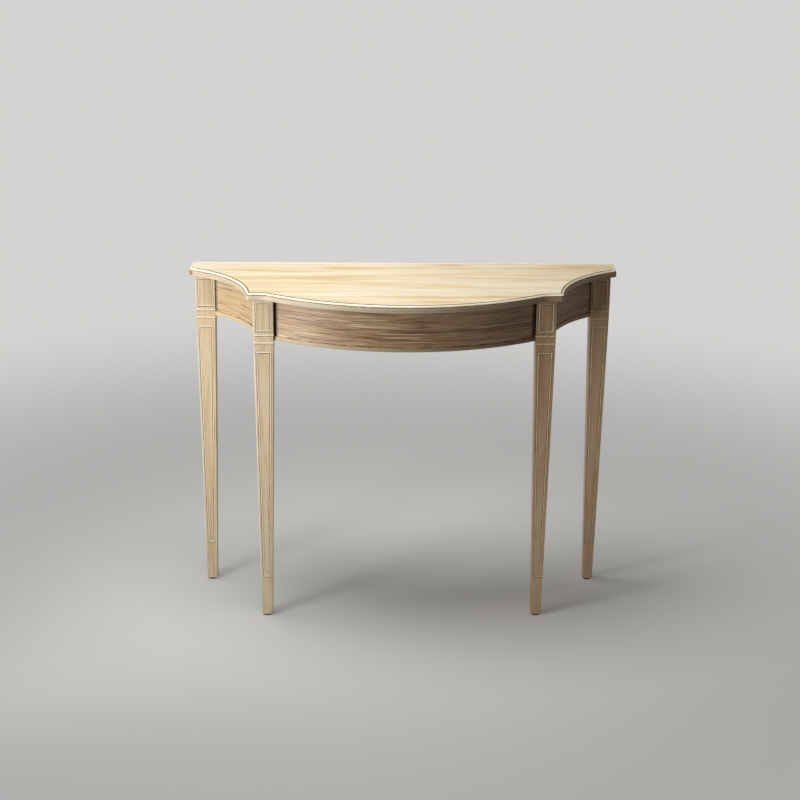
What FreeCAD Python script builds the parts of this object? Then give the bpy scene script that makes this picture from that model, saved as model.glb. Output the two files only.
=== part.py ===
import FreeCAD, Part
import math
import os
import re

import Sketcher

# Demilune table with a bowed front, scooped sides and four tapered legs.
# Millimetres. Origin on the floor below the middle of the table, Z up, the bowed front faces -Y.
doc = FreeCAD.newDocument("DemiluneTable")
sheet = doc.addObject("Spreadsheet::Sheet", "Dims")

SIZES = {
    # overall
    "table_width": 960.0,
    "table_depth": 366.0,
    "table_height": 762.0,
    # top
    "top_thickness": 16.5,
    "lipping_width": 7.4,
    "quirk_width": 2.2,
    "quirk_depth": 1.5,
    "arris_radius": 2.6,
    "end_length": 57.0,
    "scoop_width": 139.0,
    "scoop_sag": 34.0,
    "corner_flat": 40.0,
    "bow_depth": 98.0,
    "ogee_radius": 52.0,
    # legs
    "front_overhang": 6.0,
    "side_overhang": 15.0,
    "end_overhang": 13.5,
    "back_overhang": 18.5,
    "leg_block": 43.0,
    "leg_neck": 42.8,
    "shaft_width": 42.6,
    "foot_width": 23.0,
    "block_height": 77.4,
    "neck_height": 14.2,
    "band_height": 3.2,
    "band_proud": 1.0,
    "band_round": 1.4,
    # raised lines on the legs
    "line_width": 2.6,
    "line_proud": 1.1,
    "line_root": 2.0,
    "block_line_margin": 5.2,
    "block_line_top": 6.0,
    "block_line_bottom": 7.6,
    "shaft_line_margin": 5.0,
    "shaft_line_top": 19.4,
    "shaft_line_bottom": 93.0,
    # aprons
    "apron_height": 91.5,
    "apron_thickness": 18.0,
    "back_apron_thickness": 15.0,
    "bow_overhang": 24.0,
    "apron_setback": 9.0,
    "scoop_overhang": 28.0,
    "tenon_length": 16.0,
    "tenon_thickness": 8.0,
    "back_tenon_thickness": 6.0,
    "tenon_shoulder": 14.0,
    # cock beads
    "cock_bead_height": 9.0,
    "cock_bead_proud": 1.8,
    # inside
    "rail_width": 44.0,
    "rail_height": 22.0,
    "rail_housing": 6.0,
    "glue_block_length": 56.0,
    "glue_block_depth": 24.0,
    "glue_block_height": 22.0,
    "front_block_spacing": 290.0,
    "back_block_spacing": 430.0,
    "side_block_offset": 9.0,
    "side_screw_offset": 18.0,
    "screw_diameter": 4.0,
    "screw_head_diameter": 8.0,
    "screw_head_height": 3.4,
    "screw_bite": 8.5,
    "rail_screw_spacing": 180.0,
    # feet
    "glide_diameter": 19.0,
    "glide_thickness": 4.0,
    "nail_diameter": 2.4,
    "nail_length": 16.0,
    "nail_seat": 1.2,
    # length by which a cutting solid runs past what it cuts
    "overrun": 5.0,
}
for row, (alias, value) in enumerate(SIZES.items(), start=1):
    sheet.set(f"A{row}", alias)
    sheet.set(f"B{row}", str(value))
    sheet.setAlias(f"B{row}", alias)
doc.recompute()


def size(alias):
    return float(getattr(sheet, alias))


def bound(formula):
    # a formula in the sheet's aliases, as an expression that reads the sheet
    def word(found):
        name = found.group()
        return "Dims." + name if name in SIZES else name
    return re.sub(r"[a-z][a-z_]*", word, formula)


def bind(thing, **formulas):
    for prop, formula in formulas.items():
        thing.setExpression(prop.replace("__", "."), bound(formula))
    return thing


def place(thing, x, y, z):
    return bind(thing, Placement__Base__x=x, Placement__Base__y=y, Placement__Base__z=z)


def box(name, x, y, z):
    # x, y and z are pairs of formulas: low side and high side
    thing = doc.addObject("Part::Box", name)
    bind(thing, Length=f"{x[1]} - ({x[0]})", Width=f"{y[1]} - ({y[0]})", Height=f"{z[1]} - ({z[0]})")
    return place(thing, x[0], y[0], z[0])


def cylinder(name, radius, x, y, z):
    thing = doc.addObject("Part::Cylinder", name)
    bind(thing, Radius=radius, Height=f"{z[1]} - ({z[0]})")
    return place(thing, x, y, z[0])


def wedge(name, centre, z, foot, head):
    # four-sided solid whose section changes evenly from foot to head;
    # foot and head are (low x, high x, low y, high y) about the centre
    thing = doc.addObject("Part::Wedge", name)
    bind(thing, Ymin="0", Ymax=f"{z[1]} - ({z[0]})")
    bind(thing, Xmin=foot[0], Xmax=foot[1], Zmin=f"-({foot[3]})", Zmax=f"-({foot[2]})")
    bind(thing, X2min=head[0], X2max=head[1], Z2min=f"-({head[3]})", Z2max=f"-({head[2]})")
    upright = FreeCAD.Rotation(FreeCAD.Vector(1, 0, 0), 90)
    thing.Placement = FreeCAD.Placement(FreeCAD.Vector(), upright)
    return place(thing, centre[0], centre[1], z[0])


def cut(name, base, tool):
    thing = doc.addObject("Part::Cut", name)
    thing.Base = base
    thing.Tool = tool
    return thing


def common(name, first, second):
    thing = doc.addObject("Part::Common", name)
    thing.Base = first
    thing.Tool = second
    return thing


def fuse(name, pieces):
    thing = doc.addObject("Part::MultiFuse", name)
    thing.Shapes = pieces
    return thing


nodes = []


def node(thing, label):
    thing.Label = label
    nodes.append(thing)
    return thing


# Plan of the top: straight back and ends, a scoop on each side, flat corners and a bowed front
BACK_Y = "table_depth/2"
CORNER_Y = "(bow_depth - table_depth/2)"
SCOOP_RISE = "(table_depth - end_length - bow_depth)"
SCOOP_CHORD = f"sqrt(scoop_width^2 + {SCOOP_RISE}^2)"
SCOOP_RADIUS = f"(({SCOOP_CHORD}^2/4 + scoop_sag^2)/(2*scoop_sag))"
SCOOP_X = f"(table_width/2 - scoop_width/2 + ({SCOOP_RADIUS} - scoop_sag)*{SCOOP_RISE}/{SCOOP_CHORD})"
SCOOP_Y = f"({CORNER_Y} + {SCOOP_RISE}/2 - ({SCOOP_RADIUS} - scoop_sag)*scoop_width/{SCOOP_CHORD})"
BOW_HALF = "(table_width/2 - scoop_width - corner_flat)"
BOW_RADIUS = f"(({BOW_HALF}^2 + bow_depth^2)/(2*bow_depth))"
BOW_CENTRE_Y = f"({BOW_RADIUS} - table_depth/2)"

# Heights
TOP_Z = "table_height"
UNDER_Z = "(table_height - top_thickness)"
BAND_Z = f"({UNDER_Z} - block_height)"
SHAFT_Z = f"({BAND_Z} - 2*band_height - neck_height)"
APRON_Z = f"({UNDER_Z} - apron_height)"

# Legs stand in from the edge of the top by their overhangs
FRONT_LEG_X = "(table_width/2 - scoop_width - side_overhang - leg_block/2)"
FRONT_LEG_Y = f"({CORNER_Y} + front_overhang + leg_block/2)"
REAR_LEG_X = "(table_width/2 - end_overhang - leg_block/2)"
REAR_LEG_Y = "(table_depth/2 - back_overhang - leg_block/2)"
FRONT_INNER_X = f"({FRONT_LEG_X} - leg_block/2)"
REAR_INNER_X = f"({REAR_LEG_X} - leg_block/2)"
FRONT_LEG_BACK_Y = f"({FRONT_LEG_Y} + leg_block/2)"

# The bowed apron meets each front leg behind its front face and stands in from the bow of the top
APRON_END_Y = f"({FRONT_LEG_Y} - leg_block/2 + apron_setback)"
APRON_SAG = f"({APRON_END_Y} + table_depth/2 - bow_overhang)"
APRON_RADIUS = f"(({FRONT_INNER_X}^2 + {APRON_SAG}^2)/(2*{APRON_SAG}))"
APRON_CENTRE_Y = f"({APRON_RADIUS} + bow_overhang - table_depth/2)"
BACK_APRON_Y = f"({REAR_LEG_Y} + leg_block/2 - back_apron_thickness)"
SIDE_FACE = f"({SCOOP_RADIUS} + scoop_overhang)"
SIDES = {"left": -1, "right": 1}


def arc(centre_x, centre_y, radius, start, end):
    circle = Part.Circle(FreeCAD.Vector(centre_x, centre_y, 0), FreeCAD.Vector(0, 0, 1), radius)
    return Part.ArcOfCircle(circle, start, end)


def line(x1, y1, x2, y2):
    return Part.LineSegment(FreeCAD.Vector(x1, y1, 0), FreeCAD.Vector(x2, y2, 0))


def top_slab(name, inset, low, high):
    # slab with the plan of the top, drawn in by the inset everywhere but along the back
    body = doc.addObject("PartDesign::Body", name)
    plan = body.newObject("Sketcher::SketchObject", name + "Plan")
    plane = [item for item in body.Origin.OriginFeatures if item.Role == "XY_Plane"][0]
    plan.AttachmentSupport = [(plane, "")]
    plan.MapMode = "FlatFace"

    # the sketch starts close to its solved place, worked out from the sheet
    drawn = sum(size(alias) * sign for alias, sign in inset)
    half = size("table_width") / 2 - drawn
    back = size("table_depth") / 2
    corner = size("bow_depth") - back + drawn
    bow_half = size("table_width") / 2 - size("scoop_width") - size("corner_flat")
    bow = (bow_half ** 2 + size("bow_depth") ** 2) / (2 * size("bow_depth"))
    bow_y = bow - back
    bow -= drawn
    width = size("scoop_width")
    rise = size("table_depth") - size("end_length") - size("bow_depth")
    chord = math.hypot(width, rise)
    scoop = (chord ** 2 / 4 + size("scoop_sag") ** 2) / (2 * size("scoop_sag"))
    away = (scoop - size("scoop_sag")) / chord
    scoop_x = (size("table_width") - width) / 2 + away * rise
    scoop_y = size("bow_depth") - back + rise / 2 - away * width
    scoop += drawn
    ogee = size("ogee_radius") + drawn
    ogee_y = corner - ogee
    ogee_x = math.sqrt((bow + ogee) ** 2 - (bow_y - ogee_y) ** 2)
    turn = math.atan2(ogee_x, bow_y - ogee_y)
    scoop_start = math.acos((half - scoop_x) / scoop)
    scoop_end = math.pi - math.asin((corner - scoop_y) / scoop)
    end_y = scoop_y + scoop * math.sin(scoop_start)
    corner_x = scoop_x + scoop * math.cos(scoop_end)
    quarter = math.pi / 2

    back_edge = plan.addGeometry(line(-half, back, half, back))
    right_end = plan.addGeometry(line(half, back, half, end_y))
    right_scoop = plan.addGeometry(arc(scoop_x, scoop_y, scoop, scoop_start, scoop_end))
    right_flat = plan.addGeometry(line(corner_x, corner, ogee_x, corner))
    right_ogee = plan.addGeometry(arc(ogee_x, ogee_y, ogee, quarter, quarter + turn))
    front = plan.addGeometry(arc(0, bow_y, bow, -quarter - turn, -quarter + turn))
    left_ogee = plan.addGeometry(arc(-ogee_x, ogee_y, ogee, quarter - turn, quarter))
    left_flat = plan.addGeometry(line(-ogee_x, corner, -corner_x, corner))
    left_scoop = plan.addGeometry(arc(-scoop_x, scoop_y, scoop, math.pi - scoop_end, math.pi - scoop_start))
    left_end = plan.addGeometry(line(-half, end_y, -half, back))

    start, end, middle = 1, 2, 3
    for one, other in (((back_edge, end), (right_end, start)), ((right_end, end), (right_scoop, start)),
                       ((right_scoop, end), (right_flat, start)), ((left_flat, end), (left_scoop, start)),
                       ((left_scoop, end), (left_end, start)), ((left_end, end), (back_edge, start))):
        plan.addConstraint(Sketcher.Constraint("Coincident", *one, *other))
    for one, other in (((right_flat, end), (right_ogee, start)), ((right_ogee, end), (front, end)),
                       ((front, start), (left_ogee, start)), ((left_ogee, end), (left_flat, start))):
        plan.addConstraint(Sketcher.Constraint("Tangent", *one, *other))
    for level in (back_edge, right_flat, left_flat):
        plan.addConstraint(Sketcher.Constraint("Horizontal", level))
    for upright in (right_end, left_end):
        plan.addConstraint(Sketcher.Constraint("Vertical", upright))

    drawn_in = "".join(f" {'+' if sign > 0 else '-'} {alias}" for alias, sign in inset)
    out = drawn_in.replace("+", "#").replace("-", "+").replace("#", "-")

    def dimension(kind, formula, *where):
        value = plan.addConstraint(Sketcher.Constraint(kind, *where))
        plan.setExpression(f"Constraints[{value}]", bound(formula))

    origin = (-1, 1)
    dimension("DistanceY", BACK_Y, *origin, back_edge, start, back)
    dimension("DistanceX", f"table_width/2{out}", *origin, right_end, start, half)
    dimension("DistanceX", f"-(table_width/2{out})", *origin, left_end, end, -half)
    dimension("DistanceY", f"{CORNER_Y}{drawn_in}", *origin, right_flat, end, corner)
    dimension("DistanceY", f"{CORNER_Y}{drawn_in}", *origin, left_flat, start, corner)
    for scooped, sign in ((right_scoop, 1), (left_scoop, -1)):
        dimension("DistanceX", f"{sign}*{SCOOP_X}", *origin, scooped, middle, sign * scoop_x)
        dimension("DistanceY", SCOOP_Y, *origin, scooped, middle, scoop_y)
        dimension("Radius", f"{SCOOP_RADIUS}{drawn_in}", scooped, scoop)
    for cove in (right_ogee, left_ogee):
        dimension("Radius", f"ogee_radius{drawn_in}", cove, ogee)
    dimension("DistanceX", "0", *origin, front, middle, 0)
    dimension("DistanceY", BOW_CENTRE_Y, *origin, front, middle, bow_y)
    dimension("Radius", f"{BOW_RADIUS}{out}", front, bow)

    pad = body.newObject("PartDesign::Pad", name + "Pad")
    pad.Profile = plan
    bind(pad, Length=f"{high} - ({low})")
    place(body, "0", "0", low)
    doc.recompute()
    return body, pad


# Top: a panel with a lipping glued round its ends, scoops and front
panel_blank, panel_pad = top_slab("PanelBlank", [("lipping_width", 1)], UNDER_Z, TOP_Z)
edge_blank, edge_pad = top_slab("EdgeBlank", [], UNDER_Z, TOP_Z)
quirk_inset = [("lipping_width", 1), ("quirk_width", -1)]
quirk_blank, quirk_pad = top_slab("QuirkBlank", quirk_inset, f"{TOP_Z} - quirk_depth", f"{TOP_Z} + overrun")

# the upper arris of the lipping is rounded, the back is left square
slab_top = size("top_thickness")
back_line = size("table_depth") / 2
rounded = []
for number, edge in enumerate(edge_pad.Shape.Edges, start=1):
    upper = edge.BoundBox.Center.z > slab_top / 2 and edge.BoundBox.ZLength < slab_top / 2
    if upper and edge.BoundBox.Center.y < back_line - slab_top:
        rounded.append(f"Edge{number}")
arris = edge_blank.newObject("PartDesign::Fillet", "Arris")
arris.Base = (edge_pad, rounded)
bind(arris, Radius="arris_radius")
doc.recompute()

lipping_ring = cut("LippingRing", cut("LippingBlank", edge_blank, panel_blank), quirk_blank)
ACROSS = ("-table_width/2 - overrun", "table_width/2 + overrun")
FULL_Z = ("0", "table_height + overrun")
LIPPING_BACK_Y = f"({CORNER_Y} + lipping_width)"
LIPPING_END_X = "(table_width/2 - lipping_width)"
front_zone = box("LippingFrontZone", ACROSS, ("-table_depth/2 - overrun", LIPPING_BACK_Y), FULL_Z)
node(common("LippingFront", lipping_ring, front_zone), "lipping_front")
REAR_Y = (LIPPING_BACK_Y, "table_depth/2 + overrun")
for side, sign in SIDES.items():
    spans = {-1: ((f"-{LIPPING_END_X}", "0"), ("-table_width/2 - overrun", f"-{LIPPING_END_X}")),
             1: (("0", LIPPING_END_X), (LIPPING_END_X, "table_width/2 + overrun"))}
    side_span, end_span = spans[sign]
    side_zone = box(f"LippingZone_{side}", side_span, REAR_Y, FULL_Z)
    end_zone = box(f"LippingEndZone_{side}", end_span, REAR_Y, FULL_Z)
    node(common(f"Lipping_{side}", lipping_ring, side_zone), f"lipping_side_{side}")
    node(common(f"LippingEnd_{side}", lipping_ring, end_zone), f"lipping_end_{side}")


# Aprons: bowed front, scooped sides, straight back, each with a stub tenon at both ends
APRON_SPAN = (APRON_Z, UNDER_Z)
TENON_SPAN = (f"{APRON_Z} + tenon_shoulder", f"{UNDER_Z} - tenon_shoulder")
BEAD_SPAN = (APRON_Z, f"{APRON_Z} + cock_bead_height")


def ring(name, outer, inner, x, y, z):
    return cut(name, cylinder(name + "Outer", outer, x, y, z), cylinder(name + "Inner", inner, x, y, z))


CHEEK = "(apron_thickness - tenon_thickness)/2"
BOW_AT = ("0", APRON_CENTRE_Y)
FRONT_Y = ("-table_depth/2", FRONT_LEG_BACK_Y)
FRONT_BODY = box("ApronFrontZone", (f"-{FRONT_INNER_X}", FRONT_INNER_X), FRONT_Y, FULL_Z)
TENON_REACH = f"({FRONT_INNER_X} + tenon_length)"
FRONT_TENONS = box("ApronFrontTenonZone", (f"-{TENON_REACH}", TENON_REACH), FRONT_Y, FULL_Z)
front_ring = ring("ApronFrontRing", APRON_RADIUS, f"{APRON_RADIUS} - apron_thickness",
                  *BOW_AT, APRON_SPAN)
front_tenon_ring = ring("ApronFrontTenonRing", f"{APRON_RADIUS} - {CHEEK}",
                        f"{APRON_RADIUS} - apron_thickness + {CHEEK}", *BOW_AT, TENON_SPAN)
front_apron = fuse("ApronFrontBlank", [common("ApronFrontBow", front_ring, FRONT_BODY),
                                       common("ApronFrontTenons", front_tenon_ring, FRONT_TENONS)])
front_bead_ring = ring("CockBeadFrontRing", f"{APRON_RADIUS} + cock_bead_proud", APRON_RADIUS,
                       *BOW_AT, BEAD_SPAN)
node(common("CockBeadFront", front_bead_ring, FRONT_BODY), "cock_bead_front")

side_aprons = {}
for side, sign in SIDES.items():
    at = (f"{sign}*{SCOOP_X}", SCOOP_Y)

    def zone(name, reach):
        # from the back of the front leg to the inner face of the rear leg, longer by the reach at both ends
        inner = FRONT_INNER_X
        outer = f"{REAR_INNER_X} + {reach}"
        x = (inner, outer) if sign > 0 else (f"-({outer})", f"-({inner})")
        return box(f"{name}_{side}", x, (f"{FRONT_LEG_BACK_Y} - {reach}", BACK_Y), FULL_Z)

    side_ring = ring(f"ApronRing_{side}", f"{SIDE_FACE} + apron_thickness", SIDE_FACE, *at, APRON_SPAN)
    tenon_ring = ring(f"ApronTenonRing_{side}", f"{SIDE_FACE} + apron_thickness - {CHEEK}",
                      f"{SIDE_FACE} + {CHEEK}", *at, TENON_SPAN)
    scooped = common(f"ApronScoop_{side}", side_ring, zone("ApronZone", "0"))
    tenons = common(f"ApronTenons_{side}", tenon_ring, zone("ApronTenonZone", "tenon_length"))
    side_aprons[side] = node(fuse(f"Apron_{side}", [scooped, tenons]), f"apron_{side}")
    bead_ring = ring(f"CockBeadRing_{side}", SIDE_FACE, f"{SIDE_FACE} - cock_bead_proud", *at, BEAD_SPAN)
    node(common(f"CockBead_{side}", bead_ring, zone("CockBeadZone", "0")), f"cock_bead_{side}")

back_board = box("BackBoard", (f"-{REAR_INNER_X}", REAR_INNER_X),
                 (BACK_APRON_Y, f"{BACK_APRON_Y} + back_apron_thickness"), APRON_SPAN)
BACK_REACH = f"({REAR_INNER_X} + tenon_length)"
BACK_CHEEK = "(back_apron_thickness - back_tenon_thickness)/2"
back_tenon = box("BackTenon", (f"-{BACK_REACH}", BACK_REACH),
                 (f"{BACK_APRON_Y} + {BACK_CHEEK}",
                  f"{BACK_APRON_Y} + back_apron_thickness - {BACK_CHEEK}"), TENON_SPAN)
back_apron = fuse("BackApronBlank", [back_board, back_tenon])


# Centre rail housed in the front and back aprons, under the top
RAIL_X = ("-rail_width/2", "rail_width/2")
RAIL_SPAN = (f"{UNDER_Z} - rail_height", UNDER_Z)
rail_bar = box("RailBar", RAIL_X, ("-table_depth/2", f"{BACK_APRON_Y} + rail_housing"), RAIL_SPAN)
rail_round = cylinder("RailRound", f"{APRON_RADIUS} - apron_thickness + rail_housing", *BOW_AT, FULL_Z)
rail_blank = common("RailBlank", rail_bar, rail_round)
node(cut("ApronFront", front_apron, rail_blank), "apron_front")
node(cut("ApronBack", back_apron, rail_blank), "apron_back")


# Glue blocks in the angle between the aprons and the top
BLOCK_SPAN = (f"{UNDER_Z} - glue_block_height", UNDER_Z)
BOW_INSIDE = f"sqrt(({APRON_RADIUS} - apron_thickness)^2 - (front_block_spacing/2)^2)"
inside_bow = cylinder("InsideBow", f"{APRON_RADIUS} - apron_thickness", *BOW_AT, FULL_Z)
glue_blocks = {}
screw_places = {}
for side, sign in SIDES.items():
    centre = f"{sign}*front_block_spacing/2"
    x = (f"{centre} - glue_block_length/2", f"{centre} + glue_block_length/2")
    wall_y = f"({APRON_CENTRE_Y} - {BOW_INSIDE})"
    y = (f"{wall_y} - glue_block_depth", f"{wall_y} + glue_block_depth")
    blank = box(f"FrontBlockBar_{side}", x, y, BLOCK_SPAN)
    glue_blocks[f"front_{side}"] = common(f"FrontBlockBlank_{side}", blank, inside_bow)
    screw_places[f"front_{side}"] = (centre, f"{wall_y} + glue_block_depth/2")

    centre = f"{sign}*back_block_spacing/2"
    x = (f"{centre} - glue_block_length/2", f"{centre} + glue_block_length/2")
    y = (f"{BACK_APRON_Y} - glue_block_depth", BACK_APRON_Y)
    glue_blocks[f"back_{side}"] = box(f"BackBlockBlank_{side}", x, y, BLOCK_SPAN)
    screw_places[f"back_{side}"] = (centre, f"{BACK_APRON_Y} - glue_block_depth/2")

    # the side block sits at the middle of the scoop, hollowed to fit the round inner face of its apron
    def beside_scoop(offset):
        reach = f"({SIDE_FACE} + apron_thickness + {offset})"
        return (f"{sign}*({SCOOP_X} - {reach}*{SCOOP_RISE}/{SCOOP_CHORD})",
                f"({SCOOP_Y} + {reach}*scoop_width/{SCOOP_CHORD})")

    at_x, at_y = beside_scoop("side_block_offset")
    x = (f"{at_x} - glue_block_length/2", f"{at_x} + glue_block_length/2")
    y = (f"{at_y} - glue_block_length/2", f"{at_y} + glue_block_length/2")
    blank = box(f"SideBlockBar_{side}", x, y, BLOCK_SPAN)
    hollow = cylinder(f"SideHollow_{side}", f"{SIDE_FACE} + apron_thickness",
                      f"{sign}*{SCOOP_X}", SCOOP_Y, FULL_Z)
    glue_blocks[f"side_{side}"] = cut(f"SideBlockBlank_{side}", blank, hollow)
    screw_places[f"side_{side}"] = beside_scoop("side_screw_offset")

for end, sign in {"front": -1, "back": 1}.items():
    screw_places[f"rail_{end}"] = ("0", f"{sign}*rail_screw_spacing/2")


# Countersunk screws through the blocks and the rail into the top
screws = []
for name, (x, y) in screw_places.items():
    foot_z = f"({UNDER_Z} - glue_block_height)"
    if name.startswith("rail"):
        foot_z = f"({UNDER_Z} - rail_height)"
    shank = cylinder(f"Shank_{name}", "screw_diameter/2", x, y, (foot_z, f"{UNDER_Z} + screw_bite"))
    head = doc.addObject("Part::Cone", f"Head_{name}")
    bind(head, Radius1="screw_head_diameter/2", Radius2="screw_diameter/2", Height="screw_head_height")
    place(head, x, y, foot_z)
    screws.append(fuse(f"Screw_{name}", [shank, head]))
screw_group = doc.addObject("Part::Compound", "TopScrews")
screw_group.Links = screws
node(screw_group, "top_screws")
node(cut("TopPanel", panel_blank, screw_group), "top_panel")
node(cut("CentreRail", rail_blank, screw_group), "centre_rail")
for name, blank in glue_blocks.items():
    node(cut(f"GlueBlock_{name}", blank, screw_group), f"glue_block_{name}")


# Legs: square block, two rounded bands with a neck between them, and a tapered shaft
def centred(width):
    return (f"-({width})/2", f"({width})/2")


def about(centre, width):
    return (f"{centre} - ({width})/2", f"{centre} + ({width})/2")


def band(name, x, y, width, z):
    bar = box(name + "Bar", about(x, width), about(y, width), (z, f"{z} + band_height"))
    doc.recompute()
    thing = doc.addObject("Part::Fillet", name)
    thing.Base = bar
    rounding = size("band_round")
    thing.Edges = [(number, rounding, rounding) for number in range(1, len(bar.Shape.Edges) + 1)]
    return thing


def shaft_width_at(z):
    slope = f"(shaft_width - foot_width)/({SHAFT_Z} - glide_thickness)"
    return f"(foot_width + {slope}*({z} - glide_thickness))"


def raised_lines(name, x, y, outward):
    # one line frame on the block and one on the shaft, on the face that looks outward
    along_x = outward[0] == 0
    face = outward[0] + outward[1]
    made = []

    # block
    low_z = f"({BAND_Z} + block_line_bottom)"
    high_z = f"({UNDER_Z} - block_line_top)"
    surface = "leg_block/2"

    def slab(tag, width, z):
        depth = (f"{surface} - line_root", f"{surface} + line_proud")
        if face < 0:
            depth = (f"-({depth[1]})", f"-({depth[0]})")
        across = centred(width)
        pair_x, pair_y = (across, depth) if along_x else (depth, across)
        return box(name + tag, (f"{x} + {pair_x[0]}", f"{x} + {pair_x[1]}"),
                   (f"{y} + {pair_y[0]}", f"{y} + {pair_y[1]}"), z)

    outer = slab("BlockLineOuter", "leg_block - 2*block_line_margin", (low_z, high_z))
    inner = slab("BlockLineInner", "leg_block - 2*block_line_margin - 2*line_width",
                 (f"{low_z} + line_width", f"{high_z} - line_width"))
    made.append(cut(name + "BlockLine", outer, inner))

    # shaft
    low_z = "(glide_thickness + shaft_line_bottom)"
    high_z = f"({SHAFT_Z} - shaft_line_top)"

    def tapered(tag, margin, z):
        ends = []
        for level in z:
            across = centred(f"{shaft_width_at(level)} - 2*({margin})")
            reach = ("0", "leg_block") if face > 0 else ("-leg_block", "0")
            ends.append((*across, *reach) if along_x else (*reach, *across))
        return wedge(name + tag, (x, y), z, *ends)

    outer = tapered("ShaftLineOuter", "shaft_line_margin", (low_z, high_z))
    inner = tapered("ShaftLineInner", "shaft_line_margin + line_width",
                    (f"({low_z} + line_width)", f"({high_z} - line_width)"))
    frame = cut(name + "ShaftFrame", outer, inner)
    foot = (*centred("foot_width + 2*line_proud"), *centred("foot_width + 2*line_proud"))
    head = (*centred("shaft_width + 2*line_proud"), *centred("shaft_width + 2*line_proud"))
    grown = wedge(name + "Grown", (x, y), ("glide_thickness", SHAFT_Z), foot, head)
    made.append(common(name + "ShaftLine", frame, grown))
    return made


nails = []
legs = {}
for side, sign in SIDES.items():
    for row, out, y in (("front", FRONT_LEG_X, FRONT_LEG_Y), ("rear", REAR_LEG_X, REAR_LEG_Y)):
        x = f"({sign}*{out})"
        name = f"Leg_{row}_{side}"
        block = box(name + "Block", about(x, "leg_block"), about(y, "leg_block"), (BAND_Z, UNDER_Z))
        neck = box(name + "Neck", about(x, "leg_neck"), about(y, "leg_neck"),
                   (SHAFT_Z, BAND_Z))
        foot = (*centred("foot_width"), *centred("foot_width"))
        head = (*centred("shaft_width"), *centred("shaft_width"))
        shaft = wedge(name + "Shaft", (x, y), ("glide_thickness", SHAFT_Z), foot, head)
        upper = band(name + "UpperBand", x, y, "leg_block + 2*band_proud", f"({BAND_Z} - band_height)")
        lower = band(name + "LowerBand", x, y, "leg_neck + 2*band_proud", SHAFT_Z)
        lines = raised_lines(name + "Front", x, y, (0, -1)) + raised_lines(name + "Side", x, y, (sign, 0))
        blank = fuse(name + "Blank", [block, neck, shaft, upper, lower] + lines)

        glide_disc = cylinder(f"GlideDisc_{row}_{side}", "glide_diameter/2", x, y, ("0", "glide_thickness"))
        nail_span = ("nail_seat", "nail_seat + nail_length")
        nail = cylinder(f"Nail_{row}_{side}", "nail_diameter/2", x, y, nail_span)
        nails.append(nail)
        node(cut(f"Glide_{row}_{side}", glide_disc, nail), f"glide_{row}_{side}")

        # mortises and the seats of the aprons
        aprons = [side_aprons[side], front_apron if row == "front" else back_apron]
        seat = doc.addObject("Part::Compound", name + "Seats")
        seat.Links = aprons + [nail]
        legs[row, side] = node(cut(name, blank, seat), f"leg_{row}_{side}")
nail_group = doc.addObject("Part::Compound", "GlideNails")
nail_group.Links = nails
node(nail_group, "glide_nails")

doc.recompute()
os.makedirs("parts", exist_ok=True)
for thing in doc.Objects:
    if "Invalid" in thing.State or "Error" in thing.State:
        raise RuntimeError(f"{thing.Name} did not build: {thing.State}")
for thing in nodes:
    if thing.Shape.isNull() or not thing.Shape.isValid() or not thing.Shape.Solids:
        raise RuntimeError(f"{thing.Label} has no valid solid")
    thing.Shape.exportStep(f"parts/{thing.Label}.step")
    print(thing.Label, len(thing.Shape.Solids), round(thing.Shape.Volume))
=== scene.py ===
# %% [markdown]
# A demilune table: a serpentine top with a bowed front and scooped sides, on four square tapered legs.
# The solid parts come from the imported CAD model, which is the fixed frame of this scene.
# Blender adds what a solid model lacks: the limed and glazed wood, the carved legs, the light and the camera.

# %% Load the frame
import math

import bmesh
import bpy
from mathutils import Matrix, Vector


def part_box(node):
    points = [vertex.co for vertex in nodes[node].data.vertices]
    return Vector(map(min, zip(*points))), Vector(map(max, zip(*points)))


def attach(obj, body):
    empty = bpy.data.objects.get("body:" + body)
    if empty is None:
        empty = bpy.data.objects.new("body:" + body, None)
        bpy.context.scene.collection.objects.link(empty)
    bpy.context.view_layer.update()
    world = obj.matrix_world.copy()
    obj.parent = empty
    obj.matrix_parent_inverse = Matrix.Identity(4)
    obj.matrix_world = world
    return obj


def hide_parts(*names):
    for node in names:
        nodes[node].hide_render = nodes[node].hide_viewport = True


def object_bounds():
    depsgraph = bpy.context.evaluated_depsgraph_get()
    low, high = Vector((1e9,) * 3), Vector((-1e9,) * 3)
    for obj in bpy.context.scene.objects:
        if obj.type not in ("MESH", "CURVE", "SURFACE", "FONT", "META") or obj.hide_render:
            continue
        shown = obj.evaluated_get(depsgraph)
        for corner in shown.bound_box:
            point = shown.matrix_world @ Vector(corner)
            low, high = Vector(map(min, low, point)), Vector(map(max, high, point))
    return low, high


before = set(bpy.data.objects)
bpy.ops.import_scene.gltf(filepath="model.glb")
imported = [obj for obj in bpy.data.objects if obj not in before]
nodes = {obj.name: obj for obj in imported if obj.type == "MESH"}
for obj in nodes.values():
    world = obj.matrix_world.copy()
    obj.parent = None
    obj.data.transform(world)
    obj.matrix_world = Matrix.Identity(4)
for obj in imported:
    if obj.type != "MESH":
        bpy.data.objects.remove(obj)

cad_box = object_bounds()
MM = 0.001
print("CAD nodes:", len(nodes), "box:", cad_box)

# %% [markdown]
# Every finish is drawn with shader nodes, and small helpers keep the materials short to read.
# One turns a written sRGB colour into the linear colour that the shader wants. One adds a node,
# sets its values and links its inputs. One starts a material, and one puts it on solid parts of the frame.

# %% Helpers for materials
def linear(hex_colour):
    parts = [int(hex_colour[i:i + 2], 16) / 255 for i in (1, 3, 5)]
    return [c / 12.92 if c <= 0.04045 else ((c + 0.055) / 1.055) ** 2.4 for c in parts] + [1.0]


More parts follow.
